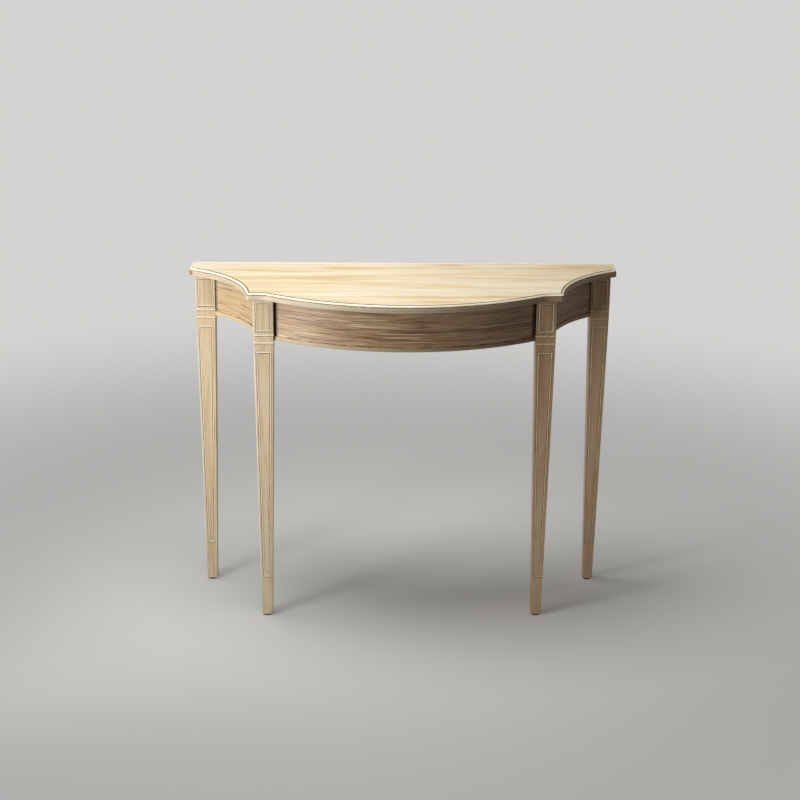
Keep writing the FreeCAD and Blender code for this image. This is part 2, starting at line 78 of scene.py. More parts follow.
def add(tree, kind, settings=None, inputs=None):
    made = tree.nodes.new("ShaderNode" + kind)
    for name, value in (settings or {}).items():
        setattr(made, name, value)
    for name, value in (inputs or {}).items():
        if isinstance(value, bpy.types.NodeSocket):
            tree.links.new(value, made.inputs[name])
        else:
            made.inputs[name].default_value = value
    return made


def start_material(name):
    material = bpy.data.materials.new(name)
    material.use_nodes = True
    tree = material.node_tree
    shader = tree.nodes["Principled BSDF"]
    return material, tree, shader


def dress(node_names, material):
    for name in node_names:
        slots = nodes[name].data.materials
        slots.clear()
        slots.append(material)
    print(material.name, "on", len(node_names), "nodes")


# %% [markdown]
# Glaze is a thin coat of colour that stays where the wood is open. So a coat is laid by a level:
# where the level is low the wood shows, and where it is high the glaze covers it.
# For grain the level is noise, stretched along the fibres, so that its length and width are real sizes.
# A level can also be a place on the table, which the last helper reads.

# %% Glaze, grain and places
MIX_FACTOR, MIX_UNDER, MIX_OVER = 0, 6, 7
MIX_COLOUR = 2


def lay_glaze(tree, under, tint, level, start, full, strength=1.0):
    # the tint covers the colour under it as the level goes from start to full
    values = {"Value": level, "From Min": start, "From Max": full, "To Max": strength}
    cover = add(tree, "MapRange", inputs=values).outputs["Result"]
    sockets = {MIX_FACTOR: cover, MIX_UNDER: under, MIX_OVER: linear(tint)}
    return add(tree, "Mix", {"data_type": "RGBA"}, sockets).outputs[MIX_COLOUR]


def stretched_noise(tree, grain, along, across, detail=3.0, distortion=0.0):
    # noise that runs slowly along the grain axes and quickly across them
    place = add(tree, "TexCoord").outputs["Object"]
    scale = [1 / along if axis in grain else 1 / across for axis in "XYZ"]
    vector = add(tree, "Mapping", inputs={"Vector": place, "Scale": scale}).outputs["Vector"]
    values = {"Vector": vector, "Scale": 1.0, "Detail": detail, "Roughness": 0.55, "Distortion": distortion}
    return add(tree, "TexNoise", inputs=values).outputs["Fac"]


def coordinates(tree, kind="Object"):
    # X, Y and Z of a place on the table, or of the way that a face looks
    return add(tree, "SeparateXYZ", inputs={"Vector": add(tree, "TexCoord").outputs[kind]}).outputs


# %% [markdown]
# The table is a pale hardwood that was limed, rubbed with honey and umber glaze and sealed in satin lacquer.
# The glaze stays in the open grain, so it shows as long streaks, and a few dark flecks are spattered on top.
# Each wood is a pale ground with layers of glaze over it. Under the lacquer the pores still show a little,
# so fine noise along the grain also drives the gloss and a low bump.

# %% Limed wood
DARK_GLAZE = "#2E241B"
FLECK = 3.2 * MM
FLECK_LEVELS = (0.74, 0.76)
# the pores are drawn wider than real ones, which would be too fine to show in the render
PORE_LENGTH, PORE_WIDTH, PORE_DEPTH = 60 * MM, 1.4 * MM, 0.3 * MM
GLOSSIER, DULLER = 0.06, 0.10
LACQUER_IOR = 1.5


def limed_wood(name, grain, ground, layers, flecks=0.0, roughness=0.42):
    # a layer: colour, length and width of a streak in mm, levels where it starts and is full, strength
    material, tree, shader = start_material(name)
    colour = linear(ground)
    for tint, along, across, start, full, strength in layers:
        level = stretched_noise(tree, grain, along * MM, across * MM, distortion=0.25)
        colour = lay_glaze(tree, colour, tint, level, start, full, strength)
    if flecks:
        spatter = stretched_noise(tree, "XYZ", FLECK, FLECK, detail=1.0)
        colour = lay_glaze(tree, colour, DARK_GLAZE, spatter, *FLECK_LEVELS, flecks)
    tree.links.new(colour, shader.inputs["Base Color"])

    pores = stretched_noise(tree, grain, PORE_LENGTH, PORE_WIDTH, detail=2.0)
    values = {"Value": pores, "To Min": roughness - GLOSSIER, "To Max": roughness + DULLER}
    tree.links.new(add(tree, "MapRange", inputs=values).outputs["Result"], shader.inputs["Roughness"])
    bump = add(tree, "Bump", inputs={"Height": pores, "Strength": 0.15, "Distance": PORE_DEPTH})
    tree.links.new(bump.outputs["Normal"], shader.inputs["Normal"])
    shader.inputs["IOR"].default_value = LACQUER_IOR
    return material


# %% [markdown]
# A last brown wash is thin at one end of a piece and heavier at the other. It is partly a clear glaze wiped
# on unevenly and partly painted shade on the sides that the light reaches least. Paint would hide the streaks
# under it. A clear glaze filters the light, so this coat multiplies the colour.

# %% Brown wash: glaze and painted shade
def painted(material):
    # the node tree of a material, its colour socket, and what is linked to that socket so far
    tree = material.node_tree
    socket = tree.nodes["Principled BSDF"].inputs["Base Color"]
    return tree, socket, socket.links[0].from_socket


def wash_glaze_and_shade(material, thin, heavy, axis, start, full):
    # the wash, partly glaze and partly painted shade, goes from its thin tint to its heavy one between two
    # places on an axis
    tree, socket, colour = painted(material)
    tint = lay_glaze(tree, linear(thin), heavy, coordinates(tree)[axis], start, full)
    settings = {"data_type": "RGBA", "blend_type": "MULTIPLY"}
    washed = add(tree, "Mix", settings, {MIX_FACTOR: 1.0, MIX_UNDER: colour, MIX_OVER: tint})
    tree.links.new(washed.outputs[MIX_COLOUR], socket)


# %% [markdown]
# The aprons are the curved boards under the top. On them the glaze also gathered in a broken line above
# the cock bead. Painted shade darkens the corners beside the legs and the angle under the top, where the legs
# and the top shade the aprons. The line and the angle are found by their height, and a corner by its distance
# from the middle of the table.

# %% Glaze and painted shade on the aprons
UNDER_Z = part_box("lipping_front")[0][2]
BEAD_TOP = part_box("cock_bead_front")[1][2]
GATHERED = 1.8 * MM
BREAK_LENGTH, BREAK_HEIGHT = 26 * MM, 60 * MM
BREAK_LEVELS = (0.46, 0.58)
LINE_STRENGTH, CORNER_SHADE_STRENGTH = 0.85, 0.92
CORNER_SHADE_FADE = 3 * MM
UNDER_TOP_SHADE_START, UNDER_TOP_SHADE_FULL = UNDER_Z - 18 * MM, UNDER_Z - 10 * MM
print("under the lipping:", round(UNDER_Z / MM, 1), "mm, top of the bead:", round(BEAD_TOP / MM, 1), "mm")


def apron_wood(name, ground, layers, corner, shade_under_top):
    material = limed_wood(name, "XY", ground, layers, flecks=0.8)
    tree, socket, wood_colour = painted(material)
    place = coordinates(tree)
    near = add(tree, "Math", {"operation": "LESS_THAN"}, {0: place["Z"], 1: BEAD_TOP + GATHERED}).outputs[0]
    broken = stretched_noise(tree, "XY", BREAK_LENGTH, BREAK_HEIGHT, detail=4.0)
    gathered = add(tree, "Math", {"operation": "MULTIPLY"}, {0: near, 1: broken}).outputs[0]
    lined = lay_glaze(tree, wood_colour, DARK_GLAZE, gathered, *BREAK_LEVELS, LINE_STRENGTH)
    # painted shade: the corners beside the legs are darkened where the legs shade the aprons
    aside = add(tree, "Math", {"operation": "ABSOLUTE"}, {0: place["X"]}).outputs[0]
    fade = (corner - CORNER_SHADE_FADE, corner + CORNER_SHADE_FADE)
    corner_shaded = lay_glaze(tree, lined, DARK_GLAZE, aside, *fade, CORNER_SHADE_STRENGTH)
    # painted shade: a dark band in the angle under the top, where the top shades the apron
    shaded_under_top = lay_glaze(tree, corner_shaded, DARK_GLAZE, place["Z"], UNDER_TOP_SHADE_START, UNDER_TOP_SHADE_FULL, shade_under_top)
    tree.links.new(shaded_under_top, socket)
    return material


# %% [markdown]
# The front apron took most of the umber, and the left one stayed a paler honey colour. The right apron has
# the same umber, which there is painted shade. A brown wash that gets heavier to the right, partly glaze and
# partly painted shade, lies over the front board and the right one.

# %% Aprons
FRONT_SHADE_CORNER, REAR_SHADE_CORNER = 274 * MM, 419.5 * MM
UMBER_GROUND, HONEY_GROUND = "#BFA079", "#CFB68C"
CLEAR, UMBER_SHADE_WASH, HEAVY_SHADE_WASH = "#FFFFFF", "#E8E6EC", "#DFD8DE"
FRONT_SHADE_SPAN, RIGHT_SHADE_SPAN = (40 * MM, 200 * MM), (280 * MM, 400 * MM)
FRONT_UNDER_TOP_SHADE, SIDE_UNDER_TOP_SHADE = 0.2, 0.4

# umber glaze gives golden patches, fine tan streaks and thin broken dark lines
UMBER_LAYERS = (
    ("#A97C46", 190, 17, 0.50, 0.68, 0.6),
    ("#966A4B", 150, 4.5, 0.46, 0.62, 0.7),
    ("#6C452C", 230, 13, 0.53, 0.70, 0.75),
    ("#E0D1B1", 130, 3.6, 0.55, 0.67, 0.8),
    ("#573B2A", 80, 2.2, 0.56, 0.66, 0.8),
    ("#2B1E16", 55, 1.6, 0.62, 0.69, 0.85),
)
# honey glaze is paler, with finer streaks and fewer dark lines
HONEY_LAYERS = (
    ("#B8925B", 160, 9, 0.48, 0.68, 0.65),
    ("#936F48", 140, 3.6, 0.50, 0.64, 0.7),
    ("#E4D4B0", 130, 3.6, 0.54, 0.67, 0.75),
    ("#5E4330", 75, 2.0, 0.58, 0.68, 0.8),
)

front_wood = apron_wood("umber_glazed_front_wood", UMBER_GROUND, UMBER_LAYERS, FRONT_SHADE_CORNER, FRONT_UNDER_TOP_SHADE)
left_wood = apron_wood("honey_glazed_side_wood", HONEY_GROUND, HONEY_LAYERS, REAR_SHADE_CORNER, SIDE_UNDER_TOP_SHADE)
# the right apron takes the darker umber as painted shade, where the left one has honey
shaded_right_wood = apron_wood("umber_glazed_shaded_side_wood", UMBER_GROUND, UMBER_LAYERS, REAR_SHADE_CORNER, SIDE_UNDER_TOP_SHADE)
# painted shade, partly glaze: a brown wash darkens the front board and the right one towards the right
wash_glaze_and_shade(front_wood, CLEAR, UMBER_SHADE_WASH, "X", *FRONT_SHADE_SPAN)
wash_glaze_and_shade(shaded_right_wood, UMBER_SHADE_WASH, HEAVY_SHADE_WASH, "X", *RIGHT_SHADE_SPAN)
dress(["apron_front"], front_wood)
dress(["apron_left"], left_wood)
dress(["apron_right"], shaded_right_wood)

# %% [markdown]
# The top is the palest board, with honey streaks along its length. It meets the lipping in a sunk line,
# the quirk, and the dark glaze was wiped into that line, though not at the two short ends.
# The wall of the quirk belongs to the top panel: it is an upright face in front of the ends,
# so the normal and the depth find it. Along the back the arris was rubbed pale again.

# %% Top panel
HALF_DEPTH = cad_box[1][1]
END_Y = 126 * MM
UPRIGHT = 0.5
RUBBED = "#F6ECD6"
RUBBED_BACK, RUBBED_STRENGTH = 10 * MM, 0.8

# lime left in the pores makes the board nearly cream, with soft straw-coloured streaks
top_wood = limed_wood("limed_top_wood", "X", "#E8D9BB", (
    ("#D8B67C", 280, 24, 0.47, 0.68, 0.8),
    ("#C99F63", 220, 14, 0.58, 0.74, 0.7),
    ("#F1E7D1", 260, 16, 0.50, 0.68, 0.75),
    ("#BFA176", 90, 2.5, 0.60, 0.78, 0.35),
), flecks=0.5)
tree, socket, wood_colour = painted(top_wood)
faces_up = coordinates(tree, "Normal")["Z"]
depth = coordinates(tree)["Y"]
upright = add(tree, "Math", {"operation": "LESS_THAN"}, {0: faces_up, 1: UPRIGHT}).outputs[0]
before_end = add(tree, "Math", {"operation": "LESS_THAN"}, {0: depth, 1: END_Y}).outputs[0]
quirk_wall = add(tree, "Math", {"operation": "MULTIPLY"}, {0: upright, 1: before_end}).outputs[0]
rubbed_band = (HALF_DEPTH - RUBBED_BACK, HALF_DEPTH - RUBBED_BACK / 2)
rubbed = lay_glaze(tree, wood_colour, RUBBED, depth, *rubbed_band, RUBBED_STRENGTH)
tree.links.new(lay_glaze(tree, rubbed, DARK_GLAZE, quirk_wall, 0.0, 1.0), socket)
dress(["top_panel"], top_wood)

# %% [markdown]
# Inside, the back apron, the centre rail and the glue blocks are the same hardwood, planed and left bare.
# The screws and nails are zinc-plated steel, and the glides are moulded black polyethylene.
# Metal and plastic have no grain, so their noise is as long as it is wide and only mottles the colour.

# %% Hidden wood, steel and glides
def mottled(name, ground, patches, size, start, full, roughness, detail=3.0):
    # an even surface with soft patches of a second colour
    material, tree, shader = start_material(name)
    level = stretched_noise(tree, "XYZ", size, size, detail=detail)
    tree.links.new(lay_glaze(tree, linear(ground), patches, level, start, full), shader.inputs["Base Color"])
    shader.inputs["Roughness"].default_value = roughness
    return material


# bare planed wood is duller than lacquered wood and a warm tan
bare_wood = limed_wood("planed_bare_wood", "X", "#D9BE94", (
    ("#C09C6B", 260, 9, 0.45, 0.70, 0.8),
    ("#A17B4E", 140, 2.5, 0.58, 0.75, 0.6),
), roughness=0.62)
dress([name for name in nodes if name.startswith("glue_block")] + ["apron_back", "centre_rail"], bare_wood)

# zinc plating is a bright cool grey with a faint mottle
zinc = mottled("zinc_plated_steel", "#A9A9A2", "#C2C2BA",
               size=1.5 * MM, start=0.3, full=0.7, roughness=0.36)
zinc.node_tree.nodes["Principled BSDF"].inputs["Metallic"].default_value = 1.0
dress(["top_screws", "glide_nails"], zinc)

# moulded polyethylene is nearly black, and paler where it is scuffed
polyethylene = mottled("moulded_black_polyethylene", "#141312", "#2A2826",
                       size=2 * MM, start=0.4, full=0.8, roughness=0.55)
dress([name for name in nodes if name.startswith("glide_") and name != "glide_nails"], polyethylene)

# %% [markdown]
# The new pieces carry four finishes each: the glazed field, the dark glaze left in the deep grooves,
# the crowns of the beads, which were rubbed back to the lime, and a thin brown glaze left beside them.
# The crowns on the two right legs are a tan copy of the pale crown, partly glaze and partly painted shade,
# where all the others are pale.

# %% Finishes of the new pieces
WOOD, DARK, CROWN, THIN = 0, 1, 2, 3

# glaze in a groove is worn through to browner wood in patches
groove_glaze = mottled("umber_glaze_in_grooves", "#33271C", "#94795A",
                       size=7 * MM, start=0.50, full=0.70, roughness=0.5, detail=4.0)
thin_glaze = mottled("thin_umber_glaze", "#7C5D3E", "#BFA379",
                     size=9 * MM, start=0.42, full=0.64, roughness=0.5, detail=4.0)

# rubbing leaves a crown paler and glossier than the field, with cloudy patches instead of streaks
pale_patches = (("#DFCBA2", 30, 30, 0.48, 0.75, 0.6),)
tan_patches = (("#B6966A", 26, 26, 0.48, 0.68, 0.6),)
pale_crown = limed_wood("limed_crown_wood", "XYZ", "#EEE2CA", pale_patches, roughness=0.36)
# the tan crown for the right legs is partly painted shade
shaded_tan_crown = limed_wood("shaded_tan_crown_wood", "XYZ", "#EAD8B3", tan_patches, roughness=0.36)
print("finishes:", groove_glaze.name, thin_glaze.name, pale_crown.name, shaded_tan_crown.name)

# %% [markdown]
# Every new piece is closed in the same way. Faces are smooth, but an edge that turns more than a little
# stays sharp, as a cut arris does. Then the piece is hung in the frame in place of its solid.

# %% Closing a piece
SHARP = math.radians(20)


def close_piece(bm, name, node_name, slot, field_wood, crown_wood=pale_crown):
    bmesh.ops.recalc_face_normals(bm, faces=bm.faces[:])
    for face in bm.faces:
        face.smooth = True
    for edge in bm.edges:
        edge.smooth = edge.calc_face_angle(0.0) < SHARP
    mesh = bpy.data.meshes.new(name)
    bm.to_mesh(mesh)
    bm.free()
    for material in (field_wood, groove_glaze, crown_wood, thin_glaze):
        mesh.materials.append(material)
    piece = bpy.data.objects.new(name, mesh)
    bpy.context.scene.collection.objects.link(piece)
    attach(piece, "root")
    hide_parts(node_name)
    print(name, "faces:", len(mesh.polygons))


# %% [markdown]
# The lipping is a moulded strip glued round the top. A strip like this is run along the edge
# with a moulding cutter, and the mesh is made the same way: its section is drawn once
# and then carried along straight runs and turns, with extrude for a run and spin for a turn.
# Each point of the section keeps its number, so the two numbers at the sides of a face tell its finish.

# %% Carry a section along a path
TURN_STEP = math.radians(2.5)
FEWEST_STEPS = 3
MERGE = 0.001 * MM


def turn(radius, degrees):
    return ("turn", radius, math.radians(degrees))


def run(length):
    return ("run", length, 0.0)


def left_of(heading):
    return Vector((-math.sin(heading), math.cos(heading), 0.0))


def verts_of(grown):
    return [item for item in grown if isinstance(item, bmesh.types.BMVert)]


def carry(section, finishes, place, heading, path):
    # the section is (distance to the left of the path, height); a left turn is positive
    bm = bmesh.new()
    number = bm.verts.layers.int.new("section_point")
    place = Vector((place[0], place[1], 0.0))
    left = left_of(heading)
    ring = [bm.verts.new(place + left * inward + Vector((0, 0, height))) for inward, height in section]
    for count, vert in enumerate(ring):
        vert[number] = count
    edges = [bm.edges.new((ring[i - 1], ring[i])) for i in range(len(ring))]
    first = edges
    for kind, amount, angle in path:
        if kind == "run":
            grown = bmesh.ops.extrude_edge_only(bm, edges=edges)["geom"]
            moved = Vector((math.cos(heading), math.sin(heading), 0.0)) * amount
            bmesh.ops.translate(bm, vec=moved, verts=verts_of(grown))
            place = place + moved
        else:
            centre = place + left_of(heading) * math.copysign(amount, angle)
            steps = max(FEWEST_STEPS, round(abs(angle) / TURN_STEP))
            swept = list(dict.fromkeys(vert for edge in edges for vert in edge.verts)) + edges
            spun = bmesh.ops.spin(bm, geom=swept, cent=centre, axis=(0, 0, 1), angle=angle, steps=steps)
            grown = spun["geom_last"]
            place = centre + Matrix.Rotation(angle, 3, "Z") @ (place - centre)
            heading += angle
        last = set(verts_of(grown))
        edges = [edge for edge in bm.edges if edge.verts[0] in last and edge.verts[1] in last]
    for face in bm.faces:
        low, high = sorted({vert[number] for vert in face.verts})
        face.material_index = finishes[high if high - low == 1 else low]
    bmesh.ops.edgeloop_fill(bm, edges=first)
    bmesh.ops.edgeloop_fill(bm, edges=edges)
    bmesh.ops.remove_doubles(bm, verts=bm.verts[:], dist=MERGE)
    return bm


# %% [markdown]
# The outline of the top is made of arcs that meet smoothly: the scoop at the side, the small ogee
# at the corner and the wide bow in front. Both outer corners of the lipping are rounded about
# the inner corner of the strip. How far each corner turns follows from where a circle as wide as the strip
# touches the scoop.

# %% Outline of the top
LIPPING = 7.4 * MM
HALF_WIDTH = cad_box[1][0]
CORNER_X, CORNER_Y = 341 * MM, -85 * MM
SCOOP_SAG, OGEE, BOW = 34 * MM, 52 * MM, 511.25 * MM

chord = Vector((HALF_WIDTH - CORNER_X, CORNER_Y - END_Y))
SCOOP = (chord.length_squared / 4 + SCOOP_SAG ** 2) / (2 * SCOOP_SAG)
middle = Vector((-(HALF_WIDTH + CORNER_X) / 2, (END_Y + CORNER_Y) / 2))
scoop_centre = middle + Vector((chord.y, -chord.x)).normalized() * (SCOOP - SCOOP_SAG)
end_pivot = Vector((-HALF_WIDTH + LIPPING, 0))
end_pivot.y = scoop_centre.y + math.sqrt((SCOOP + LIPPING) ** 2 - (end_pivot.x - scoop_centre.x) ** 2)
corner_pivot = Vector((0, CORNER_Y + LIPPING))
corner_pivot.x = scoop_centre.x + math.sqrt((SCOOP + LIPPING) ** 2 - (corner_pivot.y - scoop_centre.y) ** 2)
end_angle = math.atan2(*(end_pivot - scoop_centre).yx)
corner_angle = math.atan2(*(corner_pivot - scoop_centre).yx)

end_turn = math.degrees(end_angle)
corner_turn = 90 - math.degrees(corner_angle)
scoop_turn = -math.degrees(end_angle - corner_angle)
ogee_x = math.sqrt((BOW + OGEE) ** 2 - (BOW - HALF_DEPTH - CORNER_Y + OGEE) ** 2)
bow_half = math.degrees(math.asin(ogee_x / (BOW + OGEE)))
print("scoop radius:", round(SCOOP / MM, 2), "mm, centre:", scoop_centre / MM)

# %% [markdown]
# The section of the lipping has an upright face with a rounded lower edge, a thin step, a round bead
# that catches the light, and the floor of the quirk behind the bead. The bead sits a little lower than
# the panel, so the dark wall of the quirk shows over it as a fine line. At the short ends the quirk is pale.

# %% Section of the lipping
# (distance in from the face, height above the underside, finish of the face that ends here), in mm
LIPPING_SECTION = (
    (7.4, 15.0, WOOD), (7.4, 0.0, WOOD), (1.6, 0.0, WOOD), (0.45, 0.45, WOOD), (0.0, 1.6, WOOD),
    (0.0, 10.6, WOOD), (0.3, 11.0, THIN), (1.0, 11.3, THIN), (1.0, 12.2, THIN), (0.7, 12.6, WOOD),
    (0.9, 13.1, WOOD), (1.5, 13.9, CROWN), (2.3, 14.7, CROWN), (3.2, 15.3, CROWN), (4.1, 15.75, CROWN),
    (4.9, 16.0, CROWN), (5.4, 15.8, CROWN), (5.5, 15.0, DARK),
)
section = [(inward * MM, UNDER_Z + height * MM) for inward, height, finish in LIPPING_SECTION]
# the ring closes with the face from the last point to the first, which is the floor of the quirk
finishes = [DARK] + [finish for inward, height, finish in LIPPING_SECTION[1:]]
end_finishes = [CROWN if finish == DARK else finish for finish in finishes]
print("points of the section:", len(section))

# %% [markdown]
# The wood of the lipping is limed and greyer than the top, and a brown wash, partly painted shade, makes it
# browner to the right.
# At the left corner it is rubbed through to the brown end grain. A corner is a spot,
# so the level there is the distance from a point.

# %% Wood of the lipping
RIGHT_SHADE_WASH = "#CDBDB2"
LONG_SHADE_SPAN = (-50 * MM, 300 * MM)
END_GRAIN, END_GRAIN_STRENGTH = "#8C6440", 0.9
RUBBED_CORNER = Vector((-HALF_WIDTH, END_Y, UNDER_Z + 5 * MM))
RUBBED_REACH = (10 * MM, 5 * MM)

# lime greys the wood, and thin tan and brown streaks run along the strip
lipping_wood = limed_wood("limed_lipping_wood", "XY", "#D4C7AE", (
    ("#B99F7B", 200, 4, 0.45, 0.66, 0.75),
    ("#8A6543", 150, 3, 0.58, 0.74, 0.75),
    ("#E4DAC4", 180, 3, 0.55, 0.72, 0.7),
), flecks=0.6)
# painted shade, partly glaze: a brown wash darkens the lipping towards the right
wash_glaze_and_shade(lipping_wood, CLEAR, RIGHT_SHADE_WASH, "X", *LONG_SHADE_SPAN)
tree, socket, wood_colour = painted(lipping_wood)
place = add(tree, "TexCoord").outputs["Object"]
reach = add(tree, "VectorMath", {"operation": "DISTANCE"}, {0: place, 1: RUBBED_CORNER}).outputs["Value"]
worn = lay_glaze(tree, wood_colour, END_GRAIN, reach, *RUBBED_REACH, END_GRAIN_STRENGTH)
tree.links.new(worn, socket)
print("wood of the lipping:", lipping_wood.name)

# %% [markdown]
# Now the strip is laid in five lengths: the bowed front, two scooped sides and two short ends.
# Neighbours meet in a mitre, so each length starts and stops in the middle of a rounded corner.
# The right side is the left one mirrored.

# %% Lipping
def round_the(pivot, heading):
    # the point of the outer face at the middle of a rounded corner
    return pivot - left_of(heading).xy * LIPPING


def mirrored(bm):
    bmesh.ops.scale(bm, vec=(-1, 1, 1), verts=bm.verts[:])
    return bm


end_middle = math.radians(-90 + end_turn / 2)
corner_middle = math.radians(-corner_turn / 2)
corner_run = -ogee_x - corner_pivot.x
end_path = (run(HALF_DEPTH - end_pivot.y), turn(LIPPING, end_turn / 2))
side_path = (turn(LIPPING, end_turn / 2), turn(SCOOP, scoop_turn), turn(LIPPING, corner_turn / 2))
front_path = (
    turn(LIPPING, corner_turn / 2), run(corner_run), turn(OGEE, -bow_half),
    turn(BOW, 2 * bow_half),
    turn(OGEE, -bow_half), run(corner_run), turn(LIPPING, corner_turn / 2),
)
for side, flip in (("left", False), ("right", True)):
    end = carry(section, end_finishes, (-HALF_WIDTH, HALF_DEPTH), math.radians(-90), end_path)
    scoop = carry(section, finishes, round_the(end_pivot, end_middle), end_middle, side_path)
    for bm, part in ((end, "end"), (scoop, "side")):
        name = f"lipping_{part}_{side}"
        close_piece(mirrored(bm) if flip else bm, name + "_moulded", name, "lipping_wood", lipping_wood)
front = carry(section, finishes, round_the(corner_pivot, corner_middle), corner_middle, front_path)
close_piece(front, "lipping_front_moulded", "lipping_front", "lipping_wood", lipping_wood)

# %% [markdown]
# Each leg is one square stick. The block at the top is straight, two thin beads run round it under the block,
# and the shaft tapers on all four sides to the foot. A stick can be cut from a box or grown from a face.
# Here it grows upwards from the foot: each step has a height, a width and a finish,
# so the taper and the beads are a short list of steps.

# %% Steps of a leg
FOOT_Z = 4 * MM
SHAFT_TOP = 647.5 * MM
FOOT, SHAFT, NECK, BLOCK = 23 * MM, 42.6 * MM, 42.8 * MM, 43 * MM
NECK_HEIGHT = 14.2 * MM
BEAD, BEAD_PROUD = 3.2 * MM, 1.0 * MM
GLAZE = 1.3 * MM
ABOVE_BEAD, BELOW_TOP = 2.4 * MM, 0.8 * MM
SHAFT_MARGIN = 5 * MM
SHAFT_PANEL = (97 * MM - SHAFT_MARGIN, 628.1 * MM + SHAFT_MARGIN)
# shares of the bead's height, and of how far it stands proud there
BEAD_SHARES = ((0.08, 0.65), (0.2, 0.93), (0.5, 1.0), (0.8, 0.93), (0.92, 0.65), (1.0, 0.0))


def shaft_at(z):
    return FOOT + (SHAFT - FOOT) * (z - FOOT_Z) / (SHAFT_TOP - FOOT_Z)


def bead_steps(z, width):
    return [(z + share * BEAD, width + 2 * BEAD_PROUD * rise, CROWN) for share, rise in BEAD_SHARES]


def leg_steps(top_z):
    # height, width, finish of the faces below this height
    lower = SHAFT_TOP
    upper = lower + BEAD + NECK_HEIGHT
    block = upper + BEAD
    return (
        [(FOOT_Z, FOOT, WOOD)]
        + [(z, shaft_at(z), WOOD) for z in SHAFT_PANEL]
        + [(lower - GLAZE, shaft_at(lower - GLAZE), WOOD), (lower, SHAFT, THIN)]
        + bead_steps(lower, NECK)
        + [(upper - GLAZE, NECK, WOOD), (upper, NECK, THIN)]
        + bead_steps(upper, BLOCK)
        + [(block + ABOVE_BEAD, BLOCK, WOOD), (top_z - BELOW_TOP, BLOCK, WOOD), (top_z, BLOCK, WOOD)]
    )


print("steps of a leg:", len(leg_steps(UNDER_Z)))

# %% [markdown]
# Growing is one extrude for each step, scaled about the middle of the leg. The verts remember their step,
# so the upright edges are the ones that join two steps. They get a small bevel, as sandpaper leaves.

# %% Grow a leg
ARRIS = 0.8 * MM


def grow_stick(centre, steps):
    bm = bmesh.new()
    storey = bm.verts.layers.int.new("storey")
    z, width, finish = steps[0]
    start = Matrix.Translation(centre + Vector((0, 0, z)))
    bmesh.ops.create_grid(bm, x_segments=1, y_segments=1, size=width / 2, matrix=start)
    top = bm.faces[:][0]
    for count, (next_z, next_width, finish) in enumerate(steps[1:], start=1):
        grown = bmesh.ops.extrude_face_region(bm, geom=[top])["geom"]
        if count > 1:
            # the old top would stay as a wall inside the stick
            bmesh.ops.delete(bm, geom=[top], context="FACES_ONLY")
        verts = verts_of(grown)
        top = [item for item in grown if isinstance(item, bmesh.types.BMFace)][0]
        factor = next_width / width
        bmesh.ops.scale(bm, vec=(factor, factor, 1.0), verts=verts, space=Matrix.Translation(-centre))
        bmesh.ops.translate(bm, vec=(0, 0, next_z - z), verts=verts)
        for vert in verts:
            vert[storey] = count
        for face in {face for vert in verts for face in vert.link_faces} - {top}:
            face.material_index = finish
        z, width = next_z, next_width
    arrises = [edge for edge in bm.edges if edge.verts[0][storey] != edge.verts[1][storey]]
    bmesh.ops.bevel(bm, geom=arrises, offset=ARRIS, segments=2, profile=0.5, affect="EDGES", material=-1)
    bmesh.ops.recalc_face_normals(bm, faces=bm.faces[:])
    return bm


# %% [markdown]
# The front and the outer side of a leg carry line panels: a pale raised line in a rectangle.
# A dark band lies on one side of each line: at the left of the upright lines
# and below the level ones. A line could be a separate strip, but here it is one with the leg,
# so repeated insets of one face draw it, and the mesh stays small.

# %% Line panels
LINE_PROUD = 1.0 * MM
BLOCK_MARGIN = 5.2 * MM
# width of each inset in mm, and the share of the line's rise that it takes
LINE_INSETS = ((0.35, 0.7), (0.45, 0.3), (1.0, 0.0), (0.45, -0.3), (0.35, -0.7))
# a face larger than this carries a panel, and one whose normal is this close to a direction looks that way
PANEL_FACE = BLOCK * 30 * MM
SQUARE_ON = 0.99


def inset_ring(bm, face, width, rise, finish, sides=("left", "right", "top", "bottom")):
    # the ring takes the finish on the named sides, as seen from outside, and stays wood on the others
    across = Vector((0, 0, 1)).cross(face.normal)
    middle = face.calc_center_median()
    before = set(bm.faces)
    bmesh.ops.inset_individual(bm, faces=[face], thickness=width, depth=rise, use_even_offset=True)
    for ring in set(bm.faces) - before:
        offset = ring.calc_center_median() - middle
        sideways = offset.dot(across)
        if abs(sideways) > abs(offset.z):
            side = "right" if sideways > 0 else "left"
        else:
            side = "top" if offset.z > 0 else "bottom"
        ring.material_index = finish if side in sides else WOOD


def line_panel(bm, face, margin):
    inset_ring(bm, face, margin - GLAZE, 0.0, WOOD)
    inset_ring(bm, face, GLAZE, 0.0, DARK, ("left", "bottom"))
    for width, rise in LINE_INSETS:
        inset_ring(bm, face, width * MM, rise * LINE_PROUD, CROWN)
    inset_ring(bm, face, GLAZE, 0.0, DARK, ("right", "top"))


def panel_faces(bm, ways):
    # the long faces of the shaft and the tall faces of the block that look these ways; the foot stays plain
    large = [face for face in bm.faces if face.calc_area() > PANEL_FACE]
    above_foot = [face for face in large if face.calc_center_median().z > SHAFT_PANEL[0]]
    return [face for face in above_foot if any(face.normal.dot(way) > SQUARE_ON for way in ways)]


# %% [markdown]
# All four legs share one pattern of tan glaze, with the grain upright.
# The two right legs also have a brown wash, a little red at the foot and heaviest at the block; it is partly
# glaze and partly painted shade, darkest where the top shades the block.

